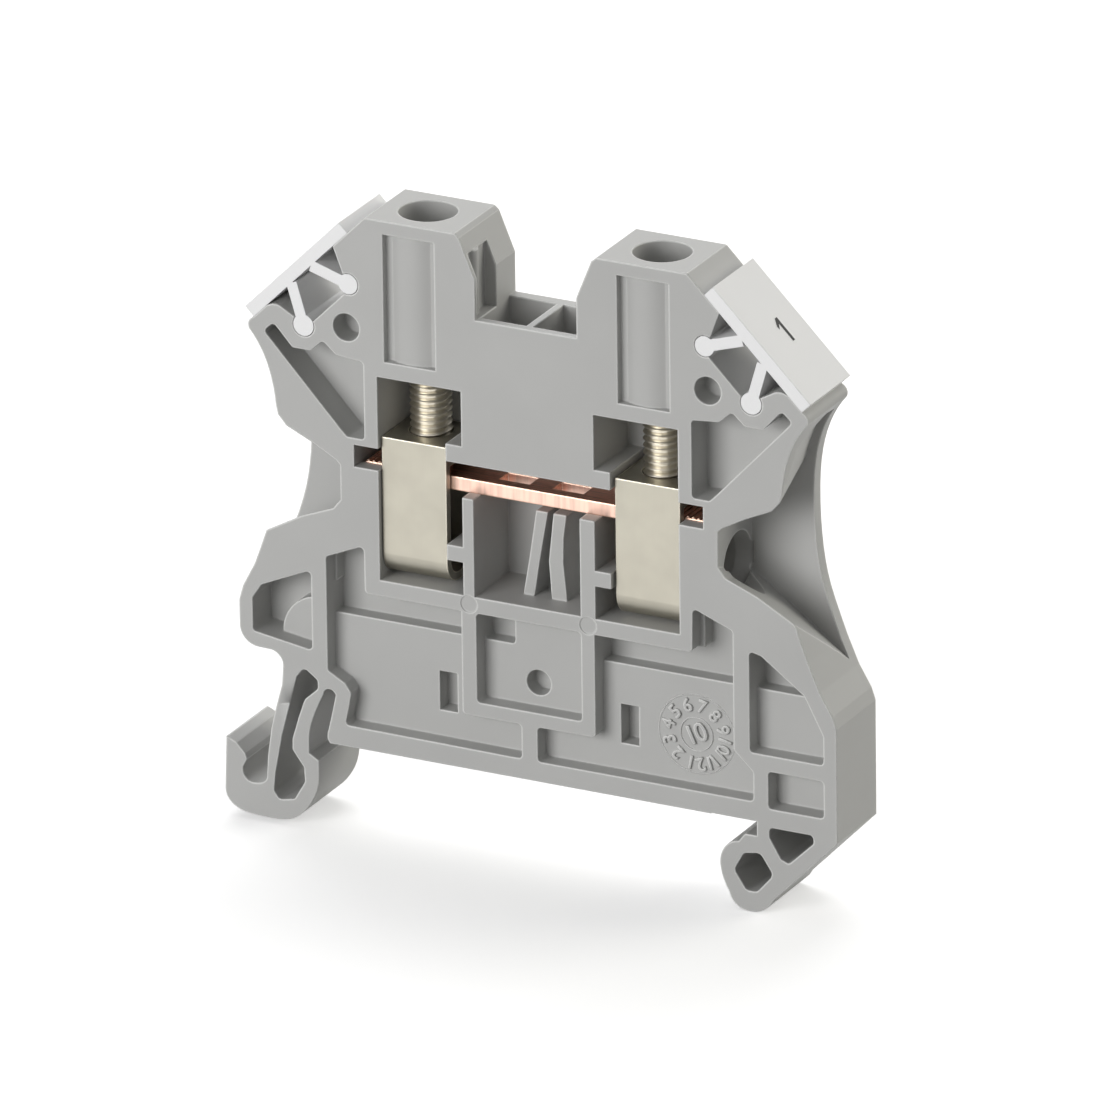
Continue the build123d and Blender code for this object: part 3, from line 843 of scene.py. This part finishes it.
class BLOCK_OT_make_dial(bpy.types.Operator):
    """Raise the month dial on the floor of the right-hand recess"""

    bl_idname = "terminal_block.make_dial"
    bl_label = "Make moulded dial"

    def execute(self, context):
        dial = context.scene.block_dial
        shape = bmesh.new()

        def place(angle, radius):
            """Frame on the recess floor, turned so that up points away from the dial's middle."""
            out = Vector((math.sin(angle), 0, math.cos(angle)))
            right = Vector((math.cos(angle), 0, -math.sin(angle)))
            matrix = Matrix.Identity(4)
            for column, axis in enumerate((right, out, Vector((0, -1, 0)))):
                matrix.col[column][:3] = axis
            matrix.translation = DIAL_CENTRE + out * radius
            return matrix

        # Half of each figure's thickness is sunk into the floor
        for month in range(1, MONTHS + 1):
            angle = 2 * math.pi / MONTHS * (month - TOP_MONTH)
            spot = place(angle, dial.radius)
            shape.from_mesh(text_mesh(
                "dial_month", str(month), dial.digit, 2 * dial.relief, spot, HEAVIER_STROKE
            ))
        for digit, shift in (("1", -DIGIT_GAP), ("0", DIGIT_GAP)):
            spot = place(DIAL_LEAN, 0) @ Matrix.Translation((shift, 0, 0))
            shape.from_mesh(text_mesh(
                "dial_year", digit, dial.year, 2 * YEAR_RISE * dial.relief, spot, HEAVIER_STROKE
            ))
        add_rim(shape, place(0, 0), dial.insert, INSERT_RIM_WIDTH, INSERT_RIM_RISE * dial.relief)
        outer_rim = dial.insert + OUTER_RIM_STEP
        add_rim(shape, place(0, 0), outer_rim, OUTER_RIM_WIDTH, OUTER_RIM_RISE * dial.relief)
        mesh = bpy.data.meshes.new("month_dial")
        shape.to_mesh(mesh)
        shape.free()
        obj = bpy.data.objects.new("month_dial", mesh)
        context.scene.collection.objects.link(obj)
        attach(obj, "block")
        set_material(obj, bpy.data.materials["moulded_polyamide_grey"])
        return {"FINISHED"}


class BLOCK_OT_set_stage(bpy.types.Operator):
    """Lay the floor, hang the lamps and set the camera"""

    bl_idname = "terminal_block.set_stage"
    bl_label = "Set stage"

    def execute(self, context):
        stage = context.scene.block_stage
        floor_z = cad_low.z - FLOOR_GAP

        def flat(shape):
            corners = [(-1, -1), (1, -1), (1, 1), (-1, 1)]
            shape.faces.new([
                shape.verts.new((x * FLOOR_HALF, y * FLOOR_HALF, floor_z)) for x, y in corners
            ])

        floor = object_from_mesh("paper_floor", None, flat)
        set_material(floor, studio_floor(stage.floor_white, stage.floor_bounce, stage.floor_glow))

        world = bpy.data.worlds.new("soft_studio")
        context.scene.world = world
        world.use_nodes = True
        tree = world.node_tree
        tree.nodes.clear()
        strength = add_node(
            tree, "ShaderNodeMapRange", values={"To Min": stage.ambient, "To Max": 1.0},
            links={"Value": background_rays(tree)},
        )
        sky = add_node(
            tree, "ShaderNodeBackground", values={"Color": (1, 1, 1, 1)},
            links={"Strength": strength.outputs["Result"]},
        )
        add_node(tree, "ShaderNodeOutputWorld", links={"Surface": sky.outputs[0]})

        for name, power, colour, (size, place) in (
            ("overhead_lamp", stage.key_power, stage.key_colour, OVERHEAD_LAMP),
            ("front_lamp", stage.fill_power, stage.key_colour, FRONT_LAMP),
            ("side_lamp", stage.side_power, stage.side_colour, SIDE_LAMP),
        ):
            lamp = bpy.data.lights.new(name, "AREA")
            lamp.shape = "SQUARE"
            lamp.size = size
            lamp.energy = power
            lamp.color = colour
            holder = bpy.data.objects.new(name, lamp)
            holder.location = AIM + place
            holder.rotation_mode = "QUATERNION"
            holder.rotation_quaternion = place.to_track_quat("Z", "Y")
            context.scene.collection.objects.link(holder)

        azimuth, elevation, roll = stage.azimuth, stage.elevation, stage.roll
        away = Vector((math.sin(azimuth), -math.cos(azimuth), 0))
        back = away * math.cos(elevation) + Vector((0, 0, math.sin(elevation)))
        right = Vector((math.cos(azimuth), math.sin(azimuth), 0))
        up = back.cross(right)
        leaned_right = right * math.cos(roll) - up * math.sin(roll)
        leaned_up = right * math.sin(roll) + up * math.cos(roll)
        camera = bpy.data.cameras.new("photo_camera")
        camera.sensor_width = SENSOR_WIDTH
        camera.lens = FOCAL_LENGTH
        camera.clip_start, camera.clip_end = CLIP_RANGE
        eye = bpy.data.objects.new("photo_camera", camera)
        context.scene.collection.objects.link(eye)
        matrix = Matrix.Identity(4)
        for column, axis in enumerate((leaned_right, leaned_up, back)):
            matrix.col[column][:3] = axis
        shift = leaned_right * SHIFT_RIGHT - leaned_up * SHIFT_DOWN
        matrix.translation = AIM + back * stage.distance + shift
        eye.matrix_world = matrix
        context.scene.camera = eye
        context.scene.view_settings.view_transform = "Standard"
        return {"FINISHED"}


class BLOCK_PT_panel(bpy.types.Panel):
    """The block's sizes, colours and steps."""

    bl_label = "Terminal block"
    bl_idname = "BLOCK_PT_panel"
    bl_space_type = "VIEW_3D"
    bl_region_type = "UI"
    bl_category = "Terminal block"

    def draw(self, context):
        layout = self.layout
        for label, group in (
            ("Finish", "block_finish"), ("Current bar", "block_bar"), ("Clamp screws", "block_screw"),
            ("Numeral", "block_numeral"), ("Dial", "block_dial"), ("Stage", "block_stage"),
        ):
            box = layout.box()
            box.label(text=label)
            settings = getattr(context.scene, group)
            for key in settings.__annotations__:
                box.prop(settings, key)
        for operator in OPERATORS:
            layout.operator(operator.bl_idname)


GROUPS = {
    "block_finish": FinishSettings,
    "block_bar": BarSettings,
    "block_screw": ScrewSettings,
    "block_numeral": NumeralSettings,
    "block_dial": DialSettings,
    "block_stage": StageSettings,
}
OPERATORS = (
    BLOCK_OT_finish_housing,
    BLOCK_OT_finish_sleeves,
    BLOCK_OT_finish_bar,
    BLOCK_OT_make_screws,
    BLOCK_OT_finish_markers,
    BLOCK_OT_make_dial,
    BLOCK_OT_set_stage,
)


def register():
    for group in GROUPS.values():
        bpy.utils.register_class(group)
    for name, group in GROUPS.items():
        setattr(bpy.types.Scene, name, bpy.props.PointerProperty(type=group))
    for operator in OPERATORS:
        bpy.utils.register_class(operator)
    bpy.utils.register_class(BLOCK_PT_panel)


def unregister():
    bpy.utils.unregister_class(BLOCK_PT_panel)
    for operator in reversed(OPERATORS):
        bpy.utils.unregister_class(operator)
    for name in GROUPS:
        delattr(bpy.types.Scene, name)
    for group in reversed(GROUPS.values()):
        bpy.utils.unregister_class(group)


def main():
    register()
    bpy.ops.terminal_block.finish_housing()
    bpy.ops.terminal_block.finish_sleeves()
    bpy.ops.terminal_block.finish_bar()
    bpy.ops.terminal_block.make_screws()
    bpy.ops.terminal_block.finish_markers()
    bpy.ops.terminal_block.make_dial()
    bpy.ops.terminal_block.set_stage()


if __name__ == "__main__":
    main()
